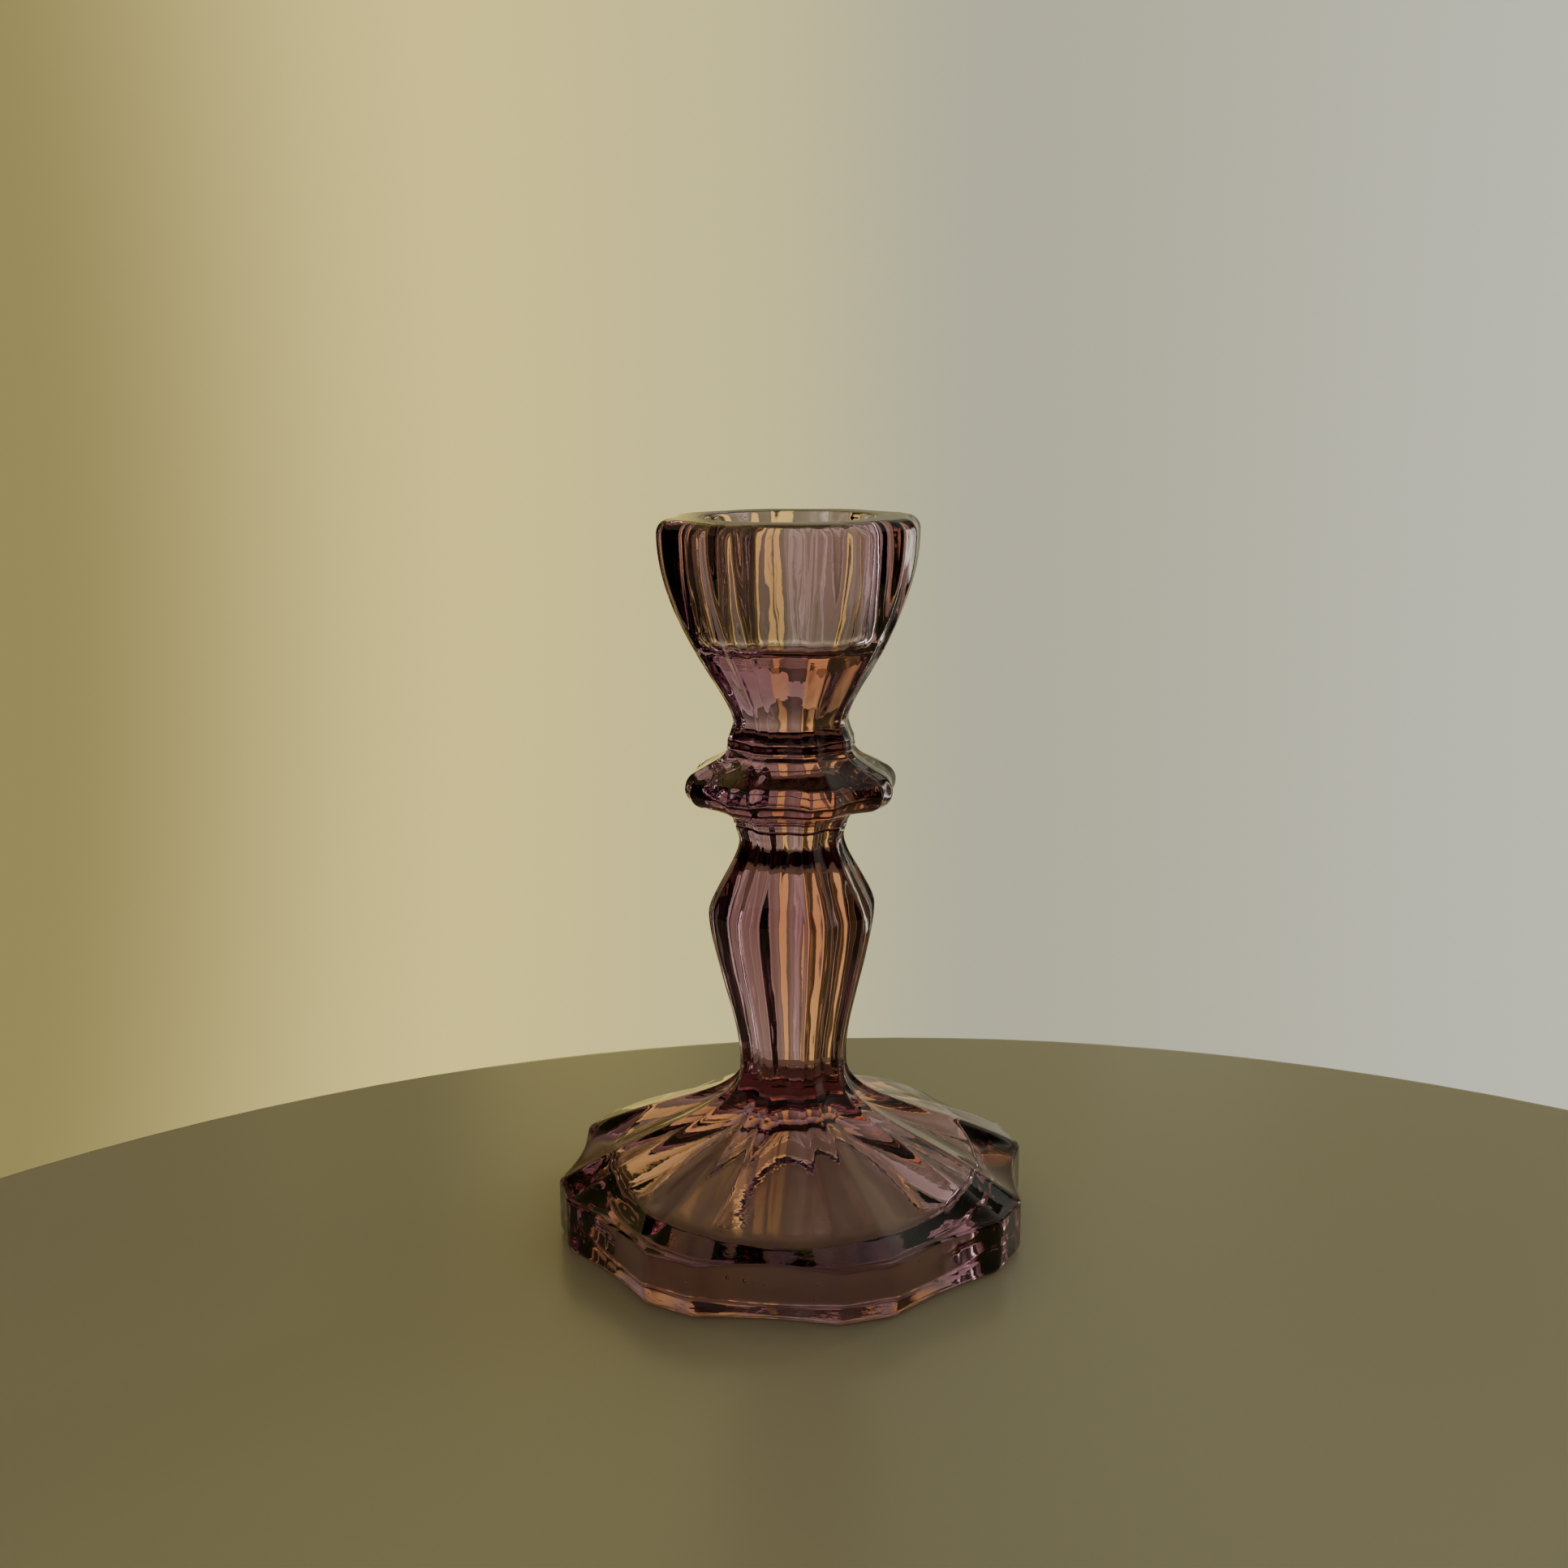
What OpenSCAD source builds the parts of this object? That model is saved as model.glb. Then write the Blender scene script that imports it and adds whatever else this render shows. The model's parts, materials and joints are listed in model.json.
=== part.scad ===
// Fluted glass candlestick for one taper candle.
// Six glass sections stand on one another along the Z axis and are fused where they meet:
// foot, stem, lower collar, knop, upper collar and cup. All share one fluted outline, a ring
// of wide shallow flutes with a narrow rib between each two. The base rests on z = 0.

/* [Flutes] */
// Number of flutes round the glass
flutes = 8; // [6:1:10]
// Share of each flute's pitch that its rib takes up
rib_share = 0.28; // [0.15:0.01:0.4]
// Depth of the hollow along the face of a rib, as a share of a flute's depth
rib_hollow = 0.12; // [0:0.01:0.3]

/* [Foot] */
// Radius of the foot at its ribs
foot_r = 33.8; // [30:0.1:40]
// Height of the foot's upright edge
edge_h = 7.8; // [6:0.1:10]
// Height of the seam between foot and stem
foot_h = 24.5; // [22:0.1:28]
// Radius of the seam between foot and stem
foot_seam_r = 7.7; // [6.5:0.1:9]
// Flute depth at the foot's edge, as a share of the radius
foot_depth = 0.06; // [0.02:0.01:0.12]
// Width of the flat ring that the foot rests on, measured at a rib
land_w = 8.8; // [7:0.1:12]
// Height of the hollow's wall under the foot
hollow_wall_h = 6.4; // [4:0.1:7]
// Height of the top of the hollow under the foot
hollow_h = 12.4; // [9:0.1:14]
// Extra flute depth just above the foot's edge, as a share of the radius
ledge_depth = 0.05; // [0:0.01:0.06]

/* [Stem] */
// Height of the stem's widest place
belly_z = 45.8; // [40:0.1:50]
// Radius of the stem's widest place
belly_r = 11.8; // [9:0.05:13]
// Height of the neck above the belly
neck_z = 56; // [53:0.1:57]
// Radius of the neck above the belly
neck_r = 7.4; // [6:0.05:9]
// Flute depth on the stem, as a share of the radius
stem_depth = 0.095; // [0.02:0.005:0.1]

/* [Knop and collars] */
// Height of the seam between stem and lower collar
lower_seam_z = 58.2; // [57.5:0.1:59]
// Height of the seam between lower collar and knop
knop_low_z = 60.9; // [60:0.1:61.5]
// Height of the seam between knop and upper collar
knop_high_z = 68.7; // [68:0.1:69.5]
// Height of the seam between upper collar and cup
upper_seam_z = 70.4; // [70:0.1:71]
// Height of the knop's widest place
knop_z = 63.5; // [63.2:0.1:64]
// Radius of the knop at its ribs
knop_r = 14.8; // [13:0.1:16]
// Radius of the knop's rounded edge
knop_edge_r = 2.4; // [2:0.1:2.6]
// Flute depth on the knop, as a share of the radius
knop_depth = 0.085; // [0.02:0.005:0.1]

/* [Cup] */
// Height of the candlestick
total_h = 100; // [94:0.5:106]
// Height of the cup's neck
cup_neck_z = 72.4; // [71.5:0.1:73]
// Radius of the cup's neck
cup_neck_r = 8; // [6.5:0.1:9]
// Radius of the rim at its ribs
rim_r = 18; // [16:0.1:20]
// Radius of the rim's rounded outer edge
rim_edge_r = 2; // [1:0.1:2.5]
// Flute depth on the cup, as a share of the radius
cup_depth = 0.06; // [0.02:0.01:0.08]
// Radius of the candle socket
socket_r = 11.3; // [10.5:0.05:12]
// Depth of the candle socket
socket_depth = 17; // [14:0.1:19]
// Radius of the rounded edge at the bottom of the candle socket
socket_floor_r = 3; // [1:0.1:4]
// Radius of the rounded lip of the candle socket
socket_lip_r = 0.8; // [0.4:0.1:1.2]

/* [Hidden] */

glass = [0.56, 0.43, 0.50];
thick_glass = [0.42, 0.29, 0.35];

pitch = 360 / flutes;
half_rib = pitch * rib_share / 2;
half_flute = pitch / 2 - half_rib;
// One flute's centre faces -Y.
first_flute = -90;
flute_steps = 7;
rib_steps = 2;
per_flute = flute_steps + rib_steps;
sides = flutes * per_flute;

foot_round = 1.2;
edge_round = 0.6;
// Handles of the curve from the foot's edge up to its neck.
slope_low = [21.5, 14.8];
slope_high = [7.9, 16.5];
// Height of the upright neck below the seam between foot and stem.
foot_neck_h = 1.5;
// The ledge in each flute deepens over the first height above the foot's edge and fades
// out over the last height below its top.
ledge_grow_h = 1.5;
ledge_fade_h = 9;
ledge_top_z = 19;
hollow_r = foot_r - land_w;
hollow_draft = 0.1;
hollow_round = 1.2;
// The hollow's flat top, with a small bevel round it.
hollow_top_r = 5;
hollow_bevel = [1.2, 0.4];
// How far inside and below its upper seam the stem begins to flare.
stem_flare = [0.4, 1];
// How far each seam's rim is rounded back, which leaves a fine groove round the glass.
seam_round = 0.25;
lower_seam_r = 7.9;
knop_low_r = 9.6;
knop_high_r = 9;
upper_seam_r = 8.8;
collar_waist = 0.35;
// Where the knop's rounded edge begins, and where it runs into its skirt.
knop_under_angle = -75;
skirt_angle = 58;
skirt_step = 8;
// Handles of the curve of the knop's skirt.
skirt_low = [11.6, 66.7];
skirt_high = [9.6, 67.4];
// How far the handles of the cup's side reach up from its neck and down from its top.
cup_neck_rise = 3.5;
cup_side_h = 14;
// Share of a curve's height over which it leaves a neck or a belly upright.
ease = 0.25;
// How far a cutter reaches past the face that it opens.
past = 1;

// ---- Outline -------------------------------------------------------------------------

// How deep the outline lies at an angle from a flute's centre: 1 at the flute's centre,
// 0 at the rib's two edges.
function dip(off) =
    off < half_flute
        ? 1 - pow(off / half_flute, 2)
        : rib_hollow * (1 - pow((pitch / 2 - off) / half_rib, 2));

// Angles round one flute and the rib after it, measured from the flute's centre.
flute_angles = concat(
    [for (i = [0 : flute_steps - 1]) -half_flute + 2 * half_flute * i / flute_steps],
    [for (i = [0 : rib_steps - 1]) half_flute + 2 * half_rib * i / rib_steps]);

// One closed outline at height z. r is its radius at the ribs' edges.
function outline(r, z, depth) =
    [for (f = [0 : flutes - 1], a = flute_angles)
        let (turn = first_flute + f * pitch + a, k = r * (1 - depth * dip(abs(a))))
        [k * cos(turn), k * sin(turn), z]];

// ---- Curves of [radius, height] ------------------------------------------------------

// Point of a cubic curve with ends a and d and handles b and c.
function cubic(a, b, c, d, t) =
    pow(1 - t, 3) * a + 3 * t * pow(1 - t, 2) * b + 3 * t * t * (1 - t) * c + pow(t, 3) * d;

// A cubic curve in n steps, without its last point.
function curve(a, b, c, d, n) = [for (i = [0 : n - 1]) cubic(a, b, c, d, i / n)];

// A curve that leaves a and reaches d upright, in n steps, without its last point.
function swell(a, d, n) =
    let (rise = (d[1] - a[1]) * ease)
    curve(a, [a[0], a[1] + rise], [d[0], d[1] - rise], d, n);

// An arc about c from angle a0 to a1 in n steps, with both ends.
function arc(c, r, a0, a1, n) =
    [for (i = [0 : n]) let (a = a0 + (a1 - a0) * i / n) c + r * [cos(a), sin(a)]];

// Flute depths at the points of a curve, from low to high over the curve's height.
function ramp(line, low, high) =
    let (z0 = line[0][1], rise = line[len(line) - 1][1] - z0)
    [for (p = line) low + (high - low) * (p[1] - z0) / rise];

// Share of the ledge's extra depth at height z.
function ledge(z) =
    let (grown = (z - edge_h) / ledge_grow_h, left = (ledge_top_z - z) / ledge_fade_h)
    min(max(grown, 0), 1) * min(max(left, 0), 1);

// ---- Solids --------------------------------------------------------------------------

// A closed solid through fluted outlines that follow a curve upwards, with the flute depth
// at each point of the curve.
module fluted(line, depths) {
    rings = [for (i = [0 : len(line) - 1]) outline(line[i][0], line[i][1], depths[i])];
    last = (len(line) - 1) * sides;
    walls = [for (j = [0 : len(line) - 2], i = [0 : sides - 1])
        let (a = j * sides + i, b = j * sides + (i + 1) % sides)
        each [[a, a + sides, b + sides], [a, b + sides, b]]];
    caps = [[for (i = [0 : sides - 1]) i], [for (i = [sides - 1 : -1 : 0]) last + i]];
    polyhedron(points = [for (ring = rings) each ring], faces = concat(walls, caps));
}

// Foot: a scalloped slab with an upright edge, its ribbed top sweeping up into the seam
// below the stem. It is hollow underneath.
module foot() {
    slope_start = [foot_r - edge_round, edge_h];
    neck = [foot_seam_r, foot_h - foot_neck_h];
    line = concat(
        arc([foot_r - foot_round, foot_round], foot_round, -90, 0, 3),
        arc([foot_r - edge_round, edge_h - edge_round], edge_round, 0, 65, 3),
        curve(slope_start, slope_low, slope_high, neck, 12),
        [neck, [foot_seam_r, foot_h - seam_round], [foot_seam_r - seam_round, foot_h]]);
    plain = ramp(line, foot_depth, stem_depth);
    depths = [for (i = [0 : len(line) - 1]) plain[i] + ledge_depth * ledge(line[i][1])];
    color(glass)
    difference() {
        fluted(line, depths);
        foot_hollow();
    }
}

// The space under the foot: an almost upright wall, a low cone above it and a small flat top.
module foot_hollow() {
    wall_top = [hollow_r - hollow_draft, hollow_wall_h];
    rotate_extrude($fn = 96)
    polygon(concat(
        [[0, -past], [hollow_r, -past], [hollow_r, 0]],
        arc(wall_top - [hollow_round, hollow_round], hollow_round, 0, 72, 4),
        [[hollow_top_r, hollow_h - hollow_bevel[1]]],
        [[hollow_top_r - hollow_bevel[0], hollow_h], [0, hollow_h]]));
}

// Stem: a slim baluster, widest in its upper part, with a neck at each end.
module stem() {
    line = concat(
        [[foot_seam_r - seam_round, foot_h]],
        swell([foot_seam_r, foot_h + seam_round], [belly_r, belly_z], 8),
        swell([belly_r, belly_z], [neck_r, neck_z], 7),
        [[neck_r, neck_z], [lower_seam_r, lower_seam_z] - stem_flare],
        [[lower_seam_r, lower_seam_z - seam_round], [lower_seam_r - seam_round, lower_seam_z]]);
    color(glass) fluted(line, ramp(line, stem_depth, stem_depth));
}

// Lower collar: a flared ring of glass between stem and knop.
module lower_collar() {
    middle_z = (lower_seam_z + knop_low_z) / 2;
    line = [
        [lower_seam_r - seam_round, lower_seam_z],
        [lower_seam_r + seam_round, lower_seam_z + seam_round],
        [(lower_seam_r + knop_low_r) / 2 - collar_waist, middle_z],
        [knop_low_r, knop_low_z - seam_round],
        [knop_low_r - seam_round, knop_low_z]];
    color(thick_glass) fluted(line, ramp(line, stem_depth, knop_depth));
}

// Knop: a thick lobed disc with a rounded edge and a fluted skirt up to the upper collar.
module knop() {
    edge_centre = [knop_r - knop_edge_r, knop_z];
    skirt_start = edge_centre + knop_edge_r * [cos(skirt_angle), sin(skirt_angle)];
    line = concat(
        [[knop_low_r - seam_round, knop_low_z], [knop_low_r + seam_round, knop_low_z + seam_round]],
        arc(edge_centre, knop_edge_r, knop_under_angle, skirt_angle - skirt_step, 8),
        curve(skirt_start, skirt_low, skirt_high, [knop_high_r, knop_high_z - seam_round], 5),
        [[knop_high_r, knop_high_z - seam_round], [knop_high_r - seam_round, knop_high_z]]);
    color(thick_glass) fluted(line, ramp(line, knop_depth, cup_depth));
}

// Upper collar: a low ring of glass between knop and cup.
module upper_collar() {
    line = [
        [knop_high_r - seam_round, knop_high_z],
        [knop_high_r, knop_high_z + seam_round],
        [upper_seam_r, upper_seam_z - seam_round],
        [upper_seam_r - seam_round, upper_seam_z]];
    color(thick_glass) fluted(line, ramp(line, cup_depth, cup_depth));
}

// Cup: a fluted bell on a narrow neck, bored for the candle.
module cup() {
    rim_start = total_h - rim_edge_r;
    line = concat(
        [[upper_seam_r - seam_round, upper_seam_z], [upper_seam_r, upper_seam_z + seam_round]],
        curve([cup_neck_r, cup_neck_z], [cup_neck_r, cup_neck_z + cup_neck_rise],
            [rim_r, total_h - cup_side_h], [rim_r, rim_start], 14),
        arc([rim_r - rim_edge_r, rim_start], rim_edge_r, 0, 90, 5));
    color(glass)
    difference() {
        fluted(line, ramp(line, cup_depth, cup_depth));
        socket();
    }
}

// The candle socket: a straight bore with a rounded lip and a rounded floor edge.
module socket() {
    floor_z = total_h - socket_depth;
    wall_z = floor_z + socket_floor_r;
    translate([0, 0, wall_z]) cylinder(h = total_h + past - wall_z, r = socket_r, $fn = 96);
    rotate_extrude($fn = 96)
    polygon(concat(
        [[0, floor_z]],
        arc([socket_r - socket_floor_r, wall_z], socket_floor_r, -90, 0, 6),
        [[0, wall_z]]));
    lip_z = total_h - socket_lip_r;
    rotate_extrude($fn = 96)
    polygon(concat(
        [[0, lip_z]],
        arc([socket_r + socket_lip_r, lip_z], socket_lip_r, 180, 90, 4),
        [[socket_r + socket_lip_r, total_h + past], [0, total_h + past]]));
}

foot();
stem();
lower_collar();
knop();
upper_collar();
cup();
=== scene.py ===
import json
import math

import bpy
import numpy as np
from mathutils import Matrix, Vector, noise


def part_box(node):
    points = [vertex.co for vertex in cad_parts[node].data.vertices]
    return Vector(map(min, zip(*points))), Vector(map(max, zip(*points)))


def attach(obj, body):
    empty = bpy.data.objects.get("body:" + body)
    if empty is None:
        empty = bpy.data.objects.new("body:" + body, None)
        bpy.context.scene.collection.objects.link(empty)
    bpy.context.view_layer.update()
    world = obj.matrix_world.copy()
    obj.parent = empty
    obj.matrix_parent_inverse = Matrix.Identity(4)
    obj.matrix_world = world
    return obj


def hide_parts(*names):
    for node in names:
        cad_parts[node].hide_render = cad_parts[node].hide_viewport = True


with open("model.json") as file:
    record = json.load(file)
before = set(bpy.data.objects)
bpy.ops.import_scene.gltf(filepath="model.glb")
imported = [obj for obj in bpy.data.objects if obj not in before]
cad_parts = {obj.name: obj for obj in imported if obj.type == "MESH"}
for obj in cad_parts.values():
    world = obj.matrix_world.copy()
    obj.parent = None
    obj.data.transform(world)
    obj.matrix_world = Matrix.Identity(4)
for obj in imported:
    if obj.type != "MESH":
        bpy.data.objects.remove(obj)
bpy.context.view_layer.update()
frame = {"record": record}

MM = 0.001

# ---- The fluted outline that every glass section shares ------------------------------

FLUTES = 8
PITCH = 360.0 / FLUTES
HALF_RIB = 0.28 * PITCH / 2  # half the angle of the rib between two flutes
HALF_FLUTE = PITCH / 2 - HALF_RIB
FIRST_FLUTE = -90.0  # one flute's centre faces -Y
RIB_HOLLOW = 0.12
PER_FLUTE = 32
SIDES = FLUTES * PER_FLUTE
SOFT_EDGE = 1.6  # degrees to each side over which a rib's edge is softened


def dip_table():
    """How deep the outline lies round the glass: 1 mid flute, 0 at the ribs' edges.
    The edges are softened a little, as fire polishing leaves them."""
    fine = 16
    off = np.abs((np.arange(SIDES * fine) / (PER_FLUTE * fine) % 1.0 - 0.5) * PITCH)
    flute = 1 - (off / HALF_FLUTE) ** 2
    rib = RIB_HOLLOW * (1 - ((PITCH / 2 - off) / HALF_RIB) ** 2)
    dip = np.where(off < HALF_FLUTE, flute, rib)
    reach = int(len(dip) * SOFT_EDGE / 360)
    span = np.arange(-reach, reach + 1)
    weight = np.cos(span / (reach + 1) * math.pi / 2) ** 2
    soft = sum(w * np.roll(dip, k) for w, k in zip(weight / weight.sum(), span))
    return soft[::fine]


DIP = dip_table()
TURN = np.radians(FIRST_FLUTE + (np.arange(SIDES) / PER_FLUTE - 0.5) * PITCH)

# ---- Sizes from the frame ------------------------------------------------------------

# A box's half width reaches the rib edges nearest to the X axis.
RIB_REACH = math.cos(math.radians(HALF_FLUTE))


def top(node):
    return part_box(node)[1][2] / MM


def rib_radius(node):
    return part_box(node)[1][0] / MM / RIB_REACH


FOOT_R = rib_radius("foot")
KNOP_R = rib_radius("knop")
RIM_R = rib_radius("cup")
FOOT_TOP, STEM_TOP, LOW_TOP = top("foot"), top("stem"), top("lower_collar")
KNOP_TOP, HIGH_TOP, CUP_TOP = top("knop"), top("upper_collar"), top("cup")
SOCKET = next(m for m in frame["record"]["mounts"] if m["name"] == "candle_socket")
SOCKET_R = SOCKET["dims"]["r_mm"]

# ---- Curves of (radius, height, flute depth), in millimetres --------------------------


def cubic(a, b, c, d, n):
    """A cubic curve with ends a and d and handles b and c, in n steps, both ends kept."""
    t = np.linspace(0, 1, n + 1)[:, None]
    a, b, c, d = (np.array(p, float) for p in (a, b, c, d))
    return (1 - t) ** 3 * a + 3 * t * (1 - t) ** 2 * b + 3 * t * t * (1 - t) * c + t**3 * d


def swell(a, d, n):
    """A curve that leaves a and reaches d upright."""
    rise = (d[1] - a[1]) * 0.25
    return cubic(a, (a[0], a[1] + rise), (d[0], d[1] - rise), d, n)


def arc(centre, r, start, end, n):
    t = np.radians(np.linspace(start, end, n + 1))
    return np.stack([centre[0] + r * np.cos(t), centre[1] + r * np.sin(t)], 1)


def straight(a, d, n):
    t = np.linspace(0, 1, n + 1)[:, None]
    return np.array(a, float) * (1 - t) + np.array(d, float) * t


def joined(*stretches):
    """Stretches end to end, without the points that repeat."""
    line = [np.array(stretches[0][0], float)]
    for s in stretches:
        for p in np.atleast_2d(s):
            if np.hypot(*(p - line[-1])) > 0.01:
                line.append(p)
    return np.array(line)


def with_depth(line, low, high, z0, z1):
    """Adds the flute depth, which runs from low at height z0 to high at z1."""
    t = np.clip((line[:, 1] - z0) / (z1 - z0), 0, 1)
    return np.column_stack([line, low + (high - low) * t])


# ---- Solids --------------------------------------------------------------------------

SEAM_LAP = 0.01  # how far two sections reach into each other where they are fused


def seam_cap(r, z, depth, up):
    """The flat face at a seam, from its edge to the axis, or the other way for a base."""
    z += SEAM_LAP if up else -SEAM_LAP
    line = [(r * k, z, depth * k**4) for k in (1, 0.97, 0.8, 0.55, 0.3)] + [(0, z, 0)]
    return np.array(line if up else line[::-1])


def ring_point(r, z, depth):
    k = r * (1 - depth * DIP)
    return np.stack([k * np.cos(TURN), k * np.sin(TURN), np.full(SIDES, z)], 1)


def solid(name, line, node, seams=(), bubbles=()):
    """A closed glass solid. line runs from the axis at its underside, round its outside,
    to the axis at its top."""
    points, faces, on_seam = [(0, 0, line[0][1])], [], []
    starts = []
    for r, z, depth in line[1:-1]:
        starts.append(len(points))
        points.extend(map(tuple, ring_point(r, z, depth)))
    last = len(points)
    points.append((0, 0, line[-1][1]))

    def flat(za, zb):
        return any(abs(za - s) < 0.02 and abs(zb - s) < 0.02 for s in seams)

    for i in range(SIDES):
        j = (i + 1) % SIDES
        faces.append((0, starts[0] + j, starts[0] + i))
        on_seam.append(flat(line[0][1], line[1][1]))
        faces.append((last, starts[-1] + i, starts[-1] + j))
        on_seam.append(flat(line[-1][1], line[-2][1]))
    for k in range(len(starts) - 1):
        a, b = starts[k], starts[k + 1]
        cap = flat(line[k + 1][1], line[k + 2][1])
        for i in range(SIDES):
            j = (i + 1) % SIDES
            faces.append((a + i, a + j, b + j, b + i))
            on_seam.append(cap)
    for centre, size in bubbles:
        add_bubble(points, faces, on_seam, centre, size)

    mesh = bpy.data.meshes.new(name)
    mesh.from_pydata([tuple(c * MM for c in p) for p in points], [], faces)
    mesh.update()
    mark = mesh.attributes.new("seam", "FLOAT", "FACE")
    mark.data.foreach_set("value", np.array(on_seam, dtype=np.float32))
    mesh.polygons.foreach_set("use_smooth", np.ones(len(faces), dtype=bool))
    sharpen_cap_rims(mesh, np.array(on_seam))
    ob = bpy.data.objects.new(name, mesh)
    bpy.context.collection.objects.link(ob)
    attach(ob, "root")
    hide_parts(node)
    return ob


def sharpen_cap_rims(mesh, on_seam):
    """Keeps the shading of the flat seam faces apart from that of the walls."""
    count = np.zeros(len(mesh.edges), int)
    loops = np.empty(len(mesh.loops), int)
    mesh.loops.foreach_get("edge_index", loops)
    face_of = np.repeat(np.arange(len(mesh.polygons)), [p.loop_total for p in mesh.polygons])
    np.add.at(count, loops, on_seam[face_of].astype(int))
    sharp = mesh.attributes.new("sharp_edge", "BOOLEAN", "EDGE")
    sharp.data.foreach_set("value", count == 1)


def add_bubble(points, faces, on_seam, centre, size):
    """A small round hollow inside the glass. Its faces look inwards, away from the glass."""
    around, up = 12, 7
    base = len(points)
    points.append((centre[0], centre[1], centre[2] - size))
    for k in range(1, up):
        t = math.pi * k / up
        for i in range(around):
            a = 2 * math.pi * i / around
            points.append((
                centre[0] + size * math.sin(t) * math.cos(a),
                centre[1] + size * math.sin(t) * math.sin(a),
                centre[2] - size * math.cos(t)))
    points.append((centre[0], centre[1], centre[2] + size))
    end = len(points) - 1
    for i in range(around):
        j = (i + 1) % around
        faces.append((base, base + 1 + i, base + 1 + j))
        faces.append((end, end - around + j, end - around + i))
        for k in range(up - 2):
            a = base + 1 + k * around
            faces.append((a + i, a + around + i, a + around + j, a + j))
    on_seam.extend([False] * (len(faces) - len(on_seam)))


def ripple(ob, size, amount, stretch=1.0):
    """Moves the surface in and out by a smooth noise, as cooling in the mould leaves it.
    size is the width of a wave and amount its height, in millimetres. A stretch below 1
    draws the waves out along Z. Seams stay flat."""
    fade_h = 1.5  # the waves fade out over this height at each end
    mesh = ob.data
    n = len(mesh.vertices)
    places, ways = np.empty(n * 3), np.empty(n * 3)
    mesh.vertices.foreach_get("co", places)
    mesh.vertices.foreach_get("normal", ways)
    places, ways = places.reshape(n, 3) / MM, ways.reshape(n, 3)
    low, high = places[:, 2].min(), places[:, 2].max()
    hold = np.clip(np.minimum(places[:, 2] - low, high - places[:, 2]) / fade_h, 0, 1)
    shift = Vector((7, 3, 1))
    waves = np.zeros(n)
    for i in np.flatnonzero(hold):
        q = Vector((places[i, 0], places[i, 1], places[i, 2] * stretch)) / size
        waves[i] = noise.noise(q) + 0.5 * noise.noise(q * 2.3 + shift)
    places += ways * (waves * hold * amount)[:, None]
    mesh.vertices.foreach_set("co", (places * MM).ravel())
    mesh.update()


# ---- The six glass sections ----------------------------------------------------------

FOOT_DEPTH, LEDGE_DEPTH, STEM_DEPTH, KNOP_DEPTH, CUP_DEPTH = 0.06, 0.05, 0.095, 0.085, 0.06
FOOT_SEAM_R, LOW_SEAM_R, KNOP_LOW_R = 7.7, 7.9, 9.6
KNOP_HIGH_R, HIGH_SEAM_R = 9.0, 8.8
BELLY, NECK = (11.8, 45.8), (7.4, 56.0)
CUP_NECK = (8.0, 72.4)
FINE, CLEAR = 0.1, 0.22  # how deep the groove is where two sections are fused


def foot():
    edge_h, bottom_round, edge_round = 7.8, 1.2, 0.6
    slope_low, slope_high, neck_h = (21.5, 14.8), (7.9, 16.5), 1.5
    ledge_grow_h, ledge_fade_h, ledge_top = 1.5, 9, 19
    land_w, wall_h, hollow_h, corner, draft, mouth_round = 8.8, 6.4, 12.4, 1.2, 0.1, 0.6
    hollow_r = FOOT_R - land_w
    wall_top_r = hollow_r - draft
    crown = (5, hollow_h - 0.5)  # where the hollow's rounded top meets its cone
    ceiling = joined(
        cubic((0, hollow_h), (1.5, hollow_h), (3.4, hollow_h), crown, 8),
        straight(crown, (wall_top_r - corner, wall_h + 0.1), 24),
        arc((wall_top_r - corner, wall_h - corner), corner, 72, 0, 8),
        straight((wall_top_r, wall_h - corner), (hollow_r, mouth_round), 8),
        arc((hollow_r + mouth_round, mouth_round), mouth_round, 180, 270, 5))
    land = straight((hollow_r + mouth_round, 0), (FOOT_R - bottom_round, 0), 8)
    wall = joined(
        arc((FOOT_R - bottom_round, bottom_round), bottom_round, -90, 0, 8),
        straight((FOOT_R, bottom_round), (FOOT_R, edge_h - edge_round), 8),
        arc((FOOT_R - edge_round, edge_h - edge_round), edge_round, 0, 66, 8),
        cubic((FOOT_R - edge_round, edge_h), slope_low, slope_high,
              (FOOT_SEAM_R, FOOT_TOP - neck_h), 60),
        straight((FOOT_SEAM_R, FOOT_TOP - neck_h), (FOOT_SEAM_R, FOOT_TOP), 3))
    inside = np.column_stack([ceiling, np.zeros(len(ceiling))])
    across = (land[1:-1, 0] - land[0, 0]) / (land[-1, 0] - land[0, 0])
    ring = np.column_stack([land[1:-1], FOOT_DEPTH * across])
    outside = with_depth(wall, FOOT_DEPTH, STEM_DEPTH, 0, FOOT_TOP)
    # Each flute meets the foot's edge in a flat ledge, which fades out up the slope.
    grown = np.clip((outside[:, 1] - edge_h + 0.1) / ledge_grow_h, 0, 1)
    left = np.clip((ledge_top - outside[:, 1]) / ledge_fade_h, 0, 1)
    outside[:, 2] += LEDGE_DEPTH * grown * left
    cap = seam_cap(FOOT_SEAM_R, FOOT_TOP, STEM_DEPTH, True)
    line = np.vstack([inside, ring, outside, cap])
    return solid("foot_glass", line, "foot", seams=(FOOT_TOP + SEAM_LAP,),
                 bubbles=foot_bubbles())


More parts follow.
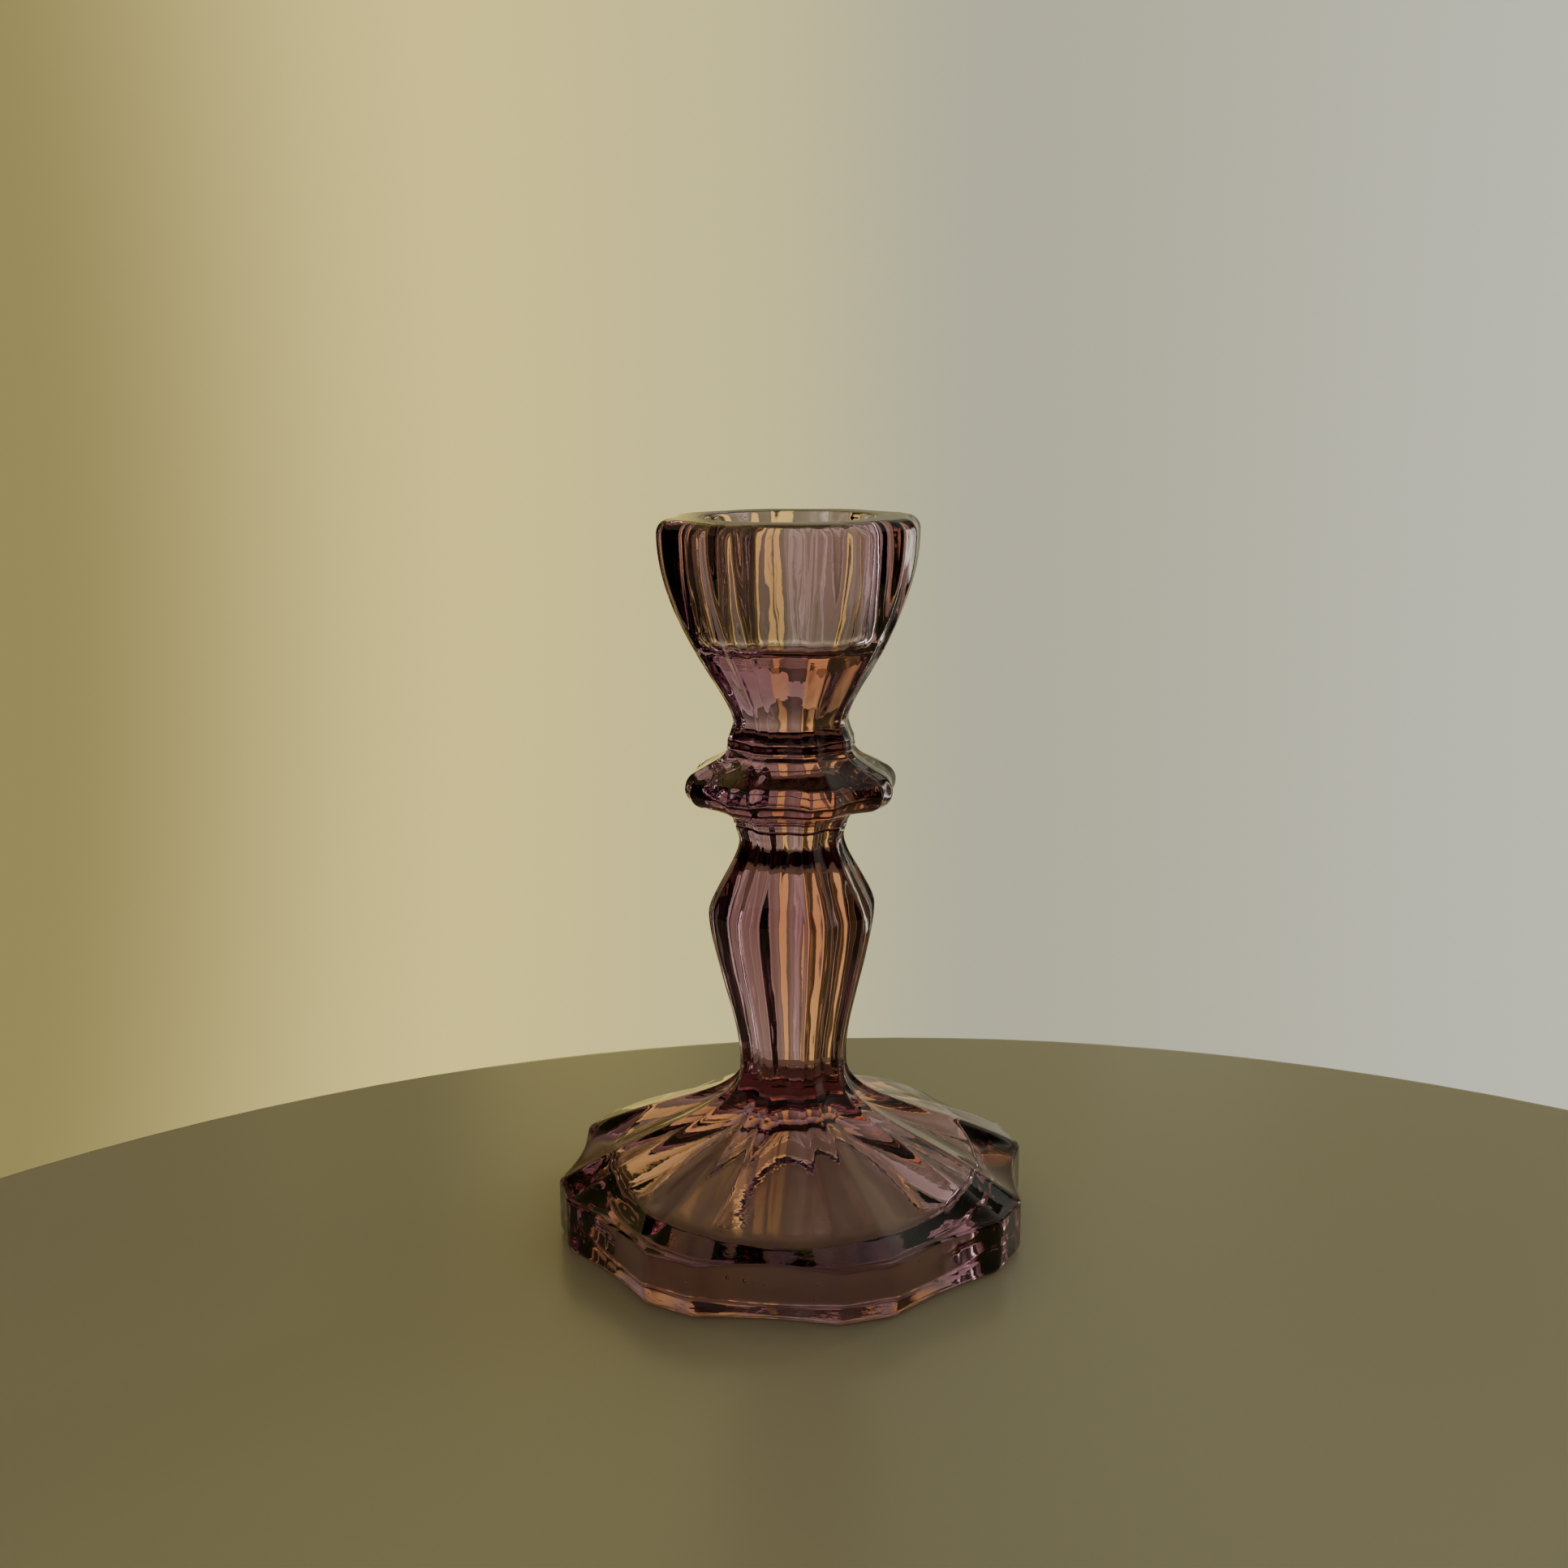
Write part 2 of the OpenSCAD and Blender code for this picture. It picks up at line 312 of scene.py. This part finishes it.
def foot_bubbles():
    """Seed bubbles, mostly in the front wall of the foot: azimuth from -Y, radius, height
    and size."""
    seeds = [(-10.5, 29.6, 5.0, 0.3), (-6.2, 29.2, 4.6, 0.28), (-4.4, 28.9, 4.3, 0.13),
             (-1.2, 29.0, 4.1, 0.13), (12.5, 30.2, 4.8, 0.17), (12.0, 29.6, 2.7, 0.15),
             (3.1, 28.4, 2.9, 0.09), (-21.0, 28.5, 3.2, 0.1), (38.0, 28.8, 5.2, 0.13),
             (96.0, 29.1, 4.4, 0.12), (141.0, 28.6, 3.4, 0.15), (-128.0, 29.2, 5.1, 0.12),
             (-75.0, 24.0, 9.2, 0.16), (-70.0, 22.4, 9.9, 0.1), (172.0, 28.9, 3.9, 0.1)]
    out = []
    for azimuth, r, z, size in seeds:
        a = math.radians(azimuth)
        out.append(((r * math.sin(a), -r * math.cos(a), z), size))
    return out


def stem():
    base, head = (FOOT_SEAM_R, FOOT_TOP), (LOW_SEAM_R, STEM_TOP - CLEAR)
    wall = joined(
        swell(base, BELLY, 60), swell(BELLY, NECK, 40),
        cubic(NECK, (NECK[0], NECK[1] + 0.8), (head[0] - 0.1, head[1] - 0.9), head, 12))
    line = np.vstack([
        seam_cap(FOOT_SEAM_R, FOOT_TOP, STEM_DEPTH, False),
        with_depth(wall, STEM_DEPTH, STEM_DEPTH, FOOT_TOP, STEM_TOP),
        seam_cap(LOW_SEAM_R - CLEAR, STEM_TOP, STEM_DEPTH, True)])
    return solid("stem_glass", line, "stem",
                 seams=(FOOT_TOP - SEAM_LAP, STEM_TOP + SEAM_LAP))


def lower_collar():
    base, head = (LOW_SEAM_R + CLEAR, STEM_TOP + CLEAR), (KNOP_LOW_R, LOW_TOP - CLEAR)
    waist = 0.35
    middle = ((base[0] + head[0]) / 2 - waist, (STEM_TOP + LOW_TOP) / 2)
    wall = cubic(base, (base[0] + 0.05, base[1] + 0.5), (middle[0], middle[1] + 0.3), head, 14)
    line = np.vstack([
        seam_cap(LOW_SEAM_R - CLEAR, STEM_TOP, STEM_DEPTH, False),
        with_depth(wall, STEM_DEPTH, KNOP_DEPTH, STEM_TOP, LOW_TOP),
        seam_cap(KNOP_LOW_R - CLEAR, LOW_TOP, KNOP_DEPTH, True)])
    return solid("lower_collar_glass", line, "lower_collar",
                 seams=(STEM_TOP - SEAM_LAP, LOW_TOP + SEAM_LAP))


def knop():
    edge_r, edge_z, under_angle, skirt_angle = 2.4, 63.5, -75, 58
    skirt_low, skirt_high = (11.6, 66.7), (9.6, 67.4)
    centre = (KNOP_R - edge_r, edge_z)
    rim = arc(centre, edge_r, under_angle, skirt_angle, 30)
    wall = joined(
        straight((KNOP_LOW_R + CLEAR, LOW_TOP + CLEAR), rim[0], 6), rim,
        cubic(rim[-1], skirt_low, skirt_high, (KNOP_HIGH_R, KNOP_TOP - CLEAR), 24))
    line = np.vstack([
        seam_cap(KNOP_LOW_R - CLEAR, LOW_TOP, KNOP_DEPTH, False),
        with_depth(wall, KNOP_DEPTH, CUP_DEPTH, LOW_TOP, KNOP_TOP),
        seam_cap(KNOP_HIGH_R - CLEAR, KNOP_TOP, CUP_DEPTH, True)])
    return solid("knop_glass", line, "knop", seams=(LOW_TOP - SEAM_LAP, KNOP_TOP + SEAM_LAP))


def upper_collar():
    wall = cubic((KNOP_HIGH_R, KNOP_TOP + CLEAR), (KNOP_HIGH_R - 0.25, KNOP_TOP + 0.6),
                 (HIGH_SEAM_R + 0.15, HIGH_TOP - 0.3), (HIGH_SEAM_R - FINE, HIGH_TOP), 12)
    line = np.vstack([
        seam_cap(KNOP_HIGH_R - CLEAR, KNOP_TOP, CUP_DEPTH, False),
        with_depth(wall, CUP_DEPTH, CUP_DEPTH, KNOP_TOP, HIGH_TOP),
        seam_cap(HIGH_SEAM_R - FINE, HIGH_TOP, CUP_DEPTH, True)])
    return solid("upper_collar_glass", line, "upper_collar",
                 seams=(KNOP_TOP - SEAM_LAP, HIGH_TOP + SEAM_LAP))


def cup():
    rim_round, lip, depth, floor_round = 2.0, 0.8, 17.0, 3.0
    neck_rise, side_h = 3.5, 14
    floor_z = CUP_TOP - depth
    rim_z = CUP_TOP - rim_round
    wall = joined(
        cubic((HIGH_SEAM_R - FINE, HIGH_TOP), (HIGH_SEAM_R - 0.45, HIGH_TOP + 0.8),
              (CUP_NECK[0] + 0.05, CUP_NECK[1] - 0.3), CUP_NECK, 20),
        cubic(CUP_NECK, (CUP_NECK[0], CUP_NECK[1] + neck_rise), (RIM_R, CUP_TOP - side_h),
              (RIM_R, rim_z), 80),
        arc((RIM_R - rim_round, rim_z), rim_round, 0, 90, 16))
    outside = with_depth(wall, CUP_DEPTH, CUP_DEPTH, HIGH_TOP, CUP_TOP)
    rim = straight((RIM_R - rim_round, CUP_TOP), (SOCKET_R + lip, CUP_TOP), 6)
    inside = joined(
        arc((SOCKET_R + lip, CUP_TOP - lip), lip, 90, 180, 8),
        straight((SOCKET_R, CUP_TOP - lip), (SOCKET_R, floor_z + floor_round), 40),
        arc((SOCKET_R - floor_round, floor_z + floor_round), floor_round, 0, -90, 14),
        straight((SOCKET_R - floor_round, floor_z), (0, floor_z), 12))
    across = 1 - (rim[0, 0] - rim[1:-1, 0]) / (rim[0, 0] - rim[-1, 0])
    line = np.vstack([
        seam_cap(HIGH_SEAM_R - FINE, HIGH_TOP, CUP_DEPTH, False),
        outside,
        np.column_stack([rim[1:-1], CUP_DEPTH * across]),
        np.column_stack([inside, np.zeros(len(inside))])])
    return solid("cup_glass", line, "cup", seams=(HIGH_TOP - SEAM_LAP,))


# ---- Materials -----------------------------------------------------------------------


GLASS_IOR = 1.51


def amethyst_glass():
    """Clear glass with a pale purple tint that deepens with thickness, and faint waves."""
    mat = bpy.data.materials.new("amethyst_glass")
    mat.use_nodes = True
    nodes, links = mat.node_tree.nodes, mat.node_tree.links
    nodes.clear()
    out = nodes.new("ShaderNodeOutputMaterial")
    glass = nodes.new("ShaderNodeBsdfPrincipled")
    glass.inputs["Base Color"].default_value = (0.96, 0.93, 0.95, 1)
    glass.inputs["Transmission Weight"].default_value = 1.0
    glass.inputs["Roughness"].default_value = 0.0
    glass.inputs["IOR"].default_value = GLASS_IOR
    links.new(glass.outputs["BSDF"], out.inputs["Surface"])

    # Two sections are one body of glass at their seam, so light passes it unbent.
    seam = nodes.new("ShaderNodeAttribute")
    seam.attribute_name = "seam"
    index = nodes.new("ShaderNodeMapRange")
    index.inputs["To Min"].default_value = GLASS_IOR
    index.inputs["To Max"].default_value = 1.0
    links.new(seam.outputs["Fac"], index.inputs["Value"])
    links.new(index.outputs["Result"], glass.inputs["IOR"])

    tint = nodes.new("ShaderNodeVolumeAbsorption")
    tint.inputs["Color"].default_value = (0.64, 0.23, 0.40, 1)
    tint.inputs["Density"].default_value = 80.0
    links.new(tint.outputs["Volume"], out.inputs["Volume"])

    place = nodes.new("ShaderNodeNewGeometry")
    chill = nodes.new("ShaderNodeTexNoise")
    chill.inputs["Scale"].default_value = 700.0
    chill.inputs["Detail"].default_value = 2.0
    links.new(place.outputs["Position"], chill.inputs["Vector"])
    polish = nodes.new("ShaderNodeMapRange")  # the mould leaves some places a little less clear
    polish.inputs["From Min"].default_value = 0.55
    polish.inputs["From Max"].default_value = 0.75
    polish.inputs["To Max"].default_value = 0.03
    links.new(chill.outputs["Fac"], polish.inputs["Value"])
    links.new(polish.outputs["Result"], glass.inputs["Roughness"])
    bump = nodes.new("ShaderNodeBump")
    bump.inputs["Strength"].default_value = 0.06
    bump.inputs["Distance"].default_value = 0.0002
    links.new(chill.outputs["Fac"], bump.inputs["Height"])
    links.new(bump.outputs["Normal"], glass.inputs["Normal"])
    return mat


def stage_material(name, colour, roughness):
    mat = bpy.data.materials.new(name)
    mat.use_nodes = True
    shader = mat.node_tree.nodes["Principled BSDF"]
    shader.inputs["Base Color"].default_value = (*colour, 1)
    shader.inputs["Roughness"].default_value = roughness
    return mat


# ---- Stage, light and camera ---------------------------------------------------------


GAP = 0.04  # between the glass and the table, so that light still reflects inside the foot
TABLE_R, TABLE_ROUND = 192, 3
TABLE_CENTRE = (30, -120)  # the candlestick stands towards the table's far edge


def table_top():
    """A plain round table top of a pale straw colour, which looks olive in this light."""
    under = -GAP - 2 * TABLE_ROUND
    line = np.vstack([
        straight((0, -GAP), (TABLE_R, -GAP), 4),
        arc((TABLE_R, -GAP - TABLE_ROUND), TABLE_ROUND, 90, -90, 12),
        straight((TABLE_R, under), (0, under), 2)])
    verts, faces, n = [], [], 128
    for r, z in line:
        for i in range(n):
            a = 2 * math.pi * i / n
            x = TABLE_CENTRE[0] + max(r, 0.01) * math.cos(a)
            y = TABLE_CENTRE[1] + max(r, 0.01) * math.sin(a)
            verts.append((x * MM, y * MM, z * MM))
    for k in range(len(line) - 1):
        for i in range(n):
            j = (i + 1) % n
            faces.append((k * n + i, (k + 1) * n + i, (k + 1) * n + j, k * n + j))
    mesh = bpy.data.meshes.new("table_top")
    mesh.from_pydata(verts, [], faces)
    mesh.polygons.foreach_set("use_smooth", np.ones(len(faces), dtype=bool))
    ob = bpy.data.objects.new("table_top", mesh)
    bpy.context.collection.objects.link(ob)
    ob.data.materials.append(stage_material("table", (0.84, 0.79, 0.55), 0.25))


# The colour of the light ring, by the compass angle from +Y towards +X in degrees. Its
# narrow bright and dark strips aren't plain soft light: they were placed and changed
# until the glass, seen by the camera, had streaks much like the real one's.
ROUND_ABOUT = (
    (-180, (0.02, 0.018, 0.015)), (-168, (0.30, 0.29, 0.26)), (-160, (0.025, 0.022, 0.018)),
    (-120, (0.015, 0.013, 0.01)), (-52, (0.03, 0.024, 0.01)),
    (-48, (0.75, 0.62, 0.28)), (-45, (0.05, 0.04, 0.014)), (-30, (0.08, 0.062, 0.02)),
    (-28, (0.42, 0.34, 0.12)), (-26, (0.12, 0.095, 0.026)),
    (-20.5, (0.14, 0.11, 0.03)), (-19.5, (1.15, 0.92, 0.27)), (-11, (1.05, 0.84, 0.26)),
    (-10, (0.26, 0.25, 0.14)), (-3, (0.33, 0.31, 0.18)),
    (1, (0.44, 0.42, 0.26)), (6.5, (0.35, 0.33, 0.20)), (8, (0.9, 0.87, 0.62)),
    (9.5, (0.38, 0.36, 0.23)), (12, (0.72, 0.69, 0.48)), (14, (0.38, 0.36, 0.23)),
    (27, (0.33, 0.31, 0.22)), (30, (0.9, 0.88, 0.7)), (32, (0.33, 0.31, 0.22)),
    (38, (0.05, 0.045, 0.035)), (44, (0.05, 0.045, 0.035)), (47, (5.5, 5.4, 4.6)),
    (51, (0.35, 0.33, 0.26)), (60, (0.04, 0.036, 0.03)),
    (80, (0.7, 0.68, 0.56)), (90, (0.03, 0.026, 0.022)), (180, (0.02, 0.018, 0.015)))


def ramp_stops(ramp, stops):
    """Gives a colour ramp these stops: places from 0 to 1 and colours."""
    items = ramp.elements
    items[0].position, items[0].color = stops[0][0], (*stops[0][1], 1)
    items[1].position, items[1].color = stops[-1][0], (*stops[-1][1], 1)
    for place, colour in stops[1:-1]:
        items.new(place).color = (*colour, 1)


def light_screen():
    """A ring of bright strips and dark flags round the candlestick, which gives the glass
    its streaks. The camera doesn't see it, so the glass shows more than the backdrop has."""
    r, low, high, sides = 0.9, -3.0, 0.55, 180
    verts, faces = [], []
    for i in range(sides):
        a = 2 * math.pi * i / sides
        verts += [(r * math.sin(a), r * math.cos(a), z) for z in (low, high)]
        faces.append((2 * i, 2 * i + 1, (2 * i + 3) % (2 * sides), (2 * i + 2) % (2 * sides)))
    mesh = bpy.data.meshes.new("light_screen")
    mesh.from_pydata(verts, [], faces)
    ob = bpy.data.objects.new("light_screen", mesh)
    bpy.context.collection.objects.link(ob)
    ob.visible_camera = False
    ob.visible_shadow = False

    mat = bpy.data.materials.new("light_screen")
    mat.use_nodes = True
    nodes, links = mat.node_tree.nodes, mat.node_tree.links
    nodes.clear()
    place = nodes.new("ShaderNodeNewGeometry")
    split = nodes.new("ShaderNodeSeparateXYZ")
    links.new(place.outputs["Position"], split.inputs["Vector"])
    angle = nodes.new("ShaderNodeMath")
    angle.operation = "ARCTAN2"
    links.new(split.outputs["X"], angle.inputs[0])
    links.new(split.outputs["Y"], angle.inputs[1])
    unit = nodes.new("ShaderNodeMapRange")
    unit.inputs["From Min"].default_value = -math.pi
    unit.inputs["From Max"].default_value = math.pi
    links.new(angle.outputs["Value"], unit.inputs["Value"])
    ramp = nodes.new("ShaderNodeValToRGB")
    ramp_stops(ramp.color_ramp, [((d + 180) / 360, c) for d, c in ROUND_ABOUT])
    links.new(unit.outputs["Result"], ramp.inputs["Fac"])
    fade = nodes.new("ShaderNodeMapRange")  # dimmer towards the ceiling
    fade.inputs["From Min"].default_value = 0.1
    fade.inputs["From Max"].default_value = high
    fade.inputs["To Min"].default_value = 1.0
    fade.inputs["To Max"].default_value = 0.35
    links.new(split.outputs["Z"], fade.inputs["Value"])
    shade = nodes.new("ShaderNodeMapRange")  # dark far below the level of the table
    shade.inputs["From Min"].default_value = -0.72
    shade.inputs["From Max"].default_value = -0.60
    shade.inputs["To Min"].default_value = 0.02
    links.new(split.outputs["Z"], shade.inputs["Value"])
    strength = nodes.new("ShaderNodeMath")
    strength.operation = "MULTIPLY"
    links.new(fade.outputs["Result"], strength.inputs[0])
    links.new(shade.outputs["Result"], strength.inputs[1])
    glow = nodes.new("ShaderNodeEmission")
    links.new(ramp.outputs["Color"], glow.inputs["Color"])
    links.new(strength.outputs["Value"], glow.inputs["Strength"])
    out = nodes.new("ShaderNodeOutputMaterial")
    links.new(glow.outputs["Emission"], out.inputs["Surface"])
    mesh.materials.append(mat)


def studio():
    """A plain soft backdrop: warm on the left, pale on the right, dimmer overhead."""
    world = bpy.data.worlds.new("studio")
    bpy.context.scene.world = world
    world.use_nodes = True
    nodes, links = world.node_tree.nodes, world.node_tree.links
    nodes.clear()
    out = nodes.new("ShaderNodeOutputWorld")
    back = nodes.new("ShaderNodeBackground")
    links.new(back.outputs["Background"], out.inputs["Surface"])
    way = nodes.new("ShaderNodeTexCoord")
    split = nodes.new("ShaderNodeSeparateXYZ")
    links.new(way.outputs["Generated"], split.inputs["Vector"])

    across = nodes.new("ShaderNodeMapRange")
    across.inputs["From Min"].default_value = -1.0
    links.new(split.outputs["X"], across.inputs["Value"])
    side = nodes.new("ShaderNodeValToRGB")
    side.color_ramp.interpolation = "EASE"
    ramp_stops(side.color_ramp, [
        (0.0, (0.26, 0.22, 0.10)), (0.25, (0.34, 0.28, 0.10)), (0.36, (1.0, 0.82, 0.27)),
        (0.42, (0.85, 0.74, 0.32)), (0.50, (0.55, 0.54, 0.38)), (0.68, (0.72, 0.71, 0.58)),
        (1.0, (0.5, 0.49, 0.42))])
    links.new(across.outputs["Result"], side.inputs["Fac"])

    front = nodes.new("ShaderNodeMapRange")  # 0 behind the candlestick, 1 in front of it
    front.interpolation_type = "SMOOTHSTEP"
    front.inputs["From Min"].default_value = 0.3
    front.inputs["From Max"].default_value = -0.5
    links.new(split.outputs["Y"], front.inputs["Value"])
    mix = nodes.new("ShaderNodeMix")
    mix.data_type = "RGBA"
    mix.inputs["B"].default_value = (0.30, 0.285, 0.25, 1)
    links.new(front.outputs["Result"], mix.inputs["Factor"])
    links.new(side.outputs["Color"], mix.inputs["A"])
    links.new(mix.outputs["Result"], back.inputs["Color"])

    fade = nodes.new("ShaderNodeMapRange")
    fade.inputs["From Min"].default_value = 0.4
    fade.inputs["From Max"].default_value = 0.95
    fade.inputs["To Min"].default_value = 1.0
    fade.inputs["To Max"].default_value = 0.2
    links.new(split.outputs["Z"], fade.inputs["Value"])
    links.new(fade.outputs["Result"], back.inputs["Strength"])


def camera():
    """A view from a little above the rim, turned a few degrees from a flute. Its numbers
    come from a camera that was fitted to the candlestick's outline."""
    turn, tilt, roll = math.radians(6.8), math.radians(12.485), math.radians(-0.466)
    away, height, aside = 235.3 * MM, 115.54 * MM, -1.04 * MM
    data = bpy.data.cameras.new("camera")
    data.sensor_width, data.lens = 36.0, 40.2
    data.clip_start = 0.01
    ob = bpy.data.objects.new("camera", data)
    bpy.context.collection.objects.link(ob)
    facing = Matrix.Rotation(turn, 4, "Z")
    place = facing @ Vector((aside, -away, height))
    aim = facing @ Matrix.Rotation(math.pi / 2 - tilt, 4, "X") @ Matrix.Rotation(roll, 4, "Z")
    ob.matrix_world = Matrix.Translation(place) @ aim
    bpy.context.scene.camera = ob


# Each section with its waves: their width and height in millimetres, and their stretch.
SECTIONS = (
    (foot, 8.0, 0.015, 1.0), (stem, 2.2, 0.05, 0.12), (lower_collar, 3.0, 0.03, 1.0),
    (knop, 3.0, 0.05, 1.0), (upper_collar, 3.0, 0.03, 1.0), (cup, 2.6, 0.07, 0.15))

glass = amethyst_glass()
for make, wave_width, wave_height, stretch in SECTIONS:
    piece = make()
    piece.data.materials.append(glass)
    ripple(piece, wave_width, wave_height, stretch)
table_top()
studio()
light_screen()
camera()
